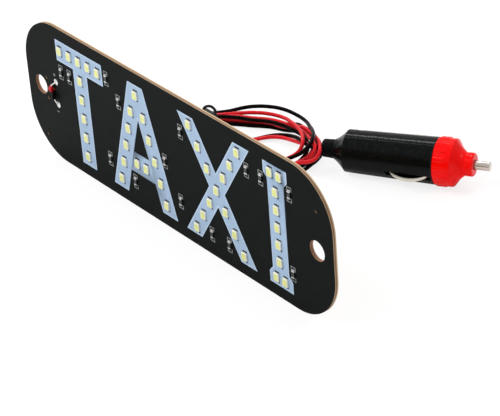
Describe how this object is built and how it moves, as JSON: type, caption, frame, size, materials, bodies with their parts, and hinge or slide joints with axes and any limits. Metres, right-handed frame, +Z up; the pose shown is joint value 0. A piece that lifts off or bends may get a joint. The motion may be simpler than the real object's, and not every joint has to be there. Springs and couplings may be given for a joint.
{
  "type": "LED taxi windscreen sign",
  "caption": "Flat rounded black board lettered TAXI in LEDs, on a tied two-wire lead with a 12 V lighter plug, for use behind a taxi's windscreen.",
  "frame": {"origin": "middle of the board's long lower edge, at half the laminate's thickness; the floor is at Z 0", "axes": "+X along the board towards the I, -Y out of the lettered front, +Z up"},
  "size_m": [0.2, 0.1147, 0.065],
  "materials": {
    "laminate": "matte cut edge, bare tan back",
    "copper": "dull, under the mask",
    "solder_mask": "semi-matte black lacquer",
    "panel_ink": "pale blue-white reflective print",
    "white_ink": "thin print",
    "led_case": "cream moulding",
    "phosphor": "yellow silicone",
    "tinned": "bright tin",
    "black_ceramic": "semi-gloss",
    "red_sleeve": "soft PVC",
    "black_sleeve": "soft PVC",
    "coil_sleeve": "red and black wires together",
    "black_tie": "plastic tie",
    "black_rubber": "satin",
    "black_plastic": "glossy moulding",
    "steel": "zinc plated",
    "red_plastic": "glossy moulding",
    "washer_fibre": "pressed fibre",
    "nickel": "nickel plated",
    "contact_metal": "nickel plated spring brass",
    "glass": "clear"
  },
  "bodies": {
    "sign": {"board_laminate": "laminate", "copper_plus_bus": "copper", "copper_minus_bus": "copper", "copper_tracks": "copper", "solder_mask": "solder_mask", "letter_panel_t": "panel_ink", "letter_panel_a": "panel_ink", "letter_panel_x": "panel_ink", "letter_panel_i": "panel_ink", "led_bodies_t": "led_case", "led_bodies_a": "led_case", "led_bodies_x": "led_case", "led_bodies_i": "led_case", "led_windows_t": "phosphor", "led_windows_a": "phosphor", "led_windows_x": "phosphor", "led_windows_i": "phosphor", "led_terminals_t": "tinned", "led_terminals_a": "tinned", "led_terminals_x": "tinned", "led_terminals_i": "tinned", "resistor_bodies": "black_ceramic", "resistor_caps": "tinned", "resistor_outlines": "white_ink", "polarity_marks": "white_ink", "solder_plus": "tinned", "solder_minus": "tinned", "red_wire_end": "red_sleeve", "black_wire_end": "black_sleeve", "wire_tails": "tinned", "red_wire_to_coil": "red_sleeve", "black_wire_to_coil": "black_sleeve", "wire_coil": "coil_sleeve", "coil_tie": "black_tie", "tie_loop": "black_tie", "red_wire_to_plug": "red_sleeve", "black_wire_to_plug": "black_sleeve", "strain_relief": "black_rubber", "shell_near": "black_plastic", "shell_far": "black_plastic", "shell_screw": "steel", "pin_spring": "steel", "rear_contact": "contact_metal", "earth_strap": "contact_metal", "red_inner_lead": "red_sleeve", "black_inner_lead": "black_sleeve"},
    "cap_carrier": {"nose_washer": "washer_fibre"},
    "cap": {"nose_cap": "red_plastic"},
    "pin": {"centre_pin": "nickel", "fuse_tube": "glass", "fuse_caps": "tinned", "fuse_wire": "tinned"},
    "contact_near": {"side_contact_near": "contact_metal"},
    "contact_far": {"side_contact_far": "contact_metal"}
  },
  "joints": [
    {"name": "cap_advance", "type": "slide", "parent": "sign", "child": "cap_carrier", "axis": [0.8699, 0.4921, 0.0338], "range_m": [0, 0.006], "deforming": ["pin_spring"]},
    {"name": "cap_spin", "type": "hinge", "parent": "cap_carrier", "child": "cap", "pos_m": [0.04619, 0.09951, 0.01031], "axis": [0.8699, 0.4921, 0.0338], "range_deg": [0, 1440]},
    {"name": "pin_press", "type": "slide", "parent": "cap_carrier", "child": "pin", "axis": [-0.8699, -0.4921, -0.0338], "range_m": [0, 0.0025], "stiffness_N_per_m": 600, "springref_m": -0.002, "deforming": ["pin_spring"]},
    {"name": "contact_near_press", "type": "slide", "parent": "sign", "child": "contact_near", "axis": [-0.4676, 0.8007, 0.3744], "range_m": [0, 0.0015], "stiffness_N_per_m": 300, "springref_m": -0.001},
    {"name": "contact_far_press", "type": "slide", "parent": "sign", "child": "contact_far", "axis": [0.4676, -0.8007, -0.3744], "range_m": [0, 0.0015], "stiffness_N_per_m": 300, "springref_m": -0.001}
  ],
  "couplings": [
    {"joint": "cap_spin", "follows": "cap_advance", "rad_per_m": 4188.8}
  ]
}
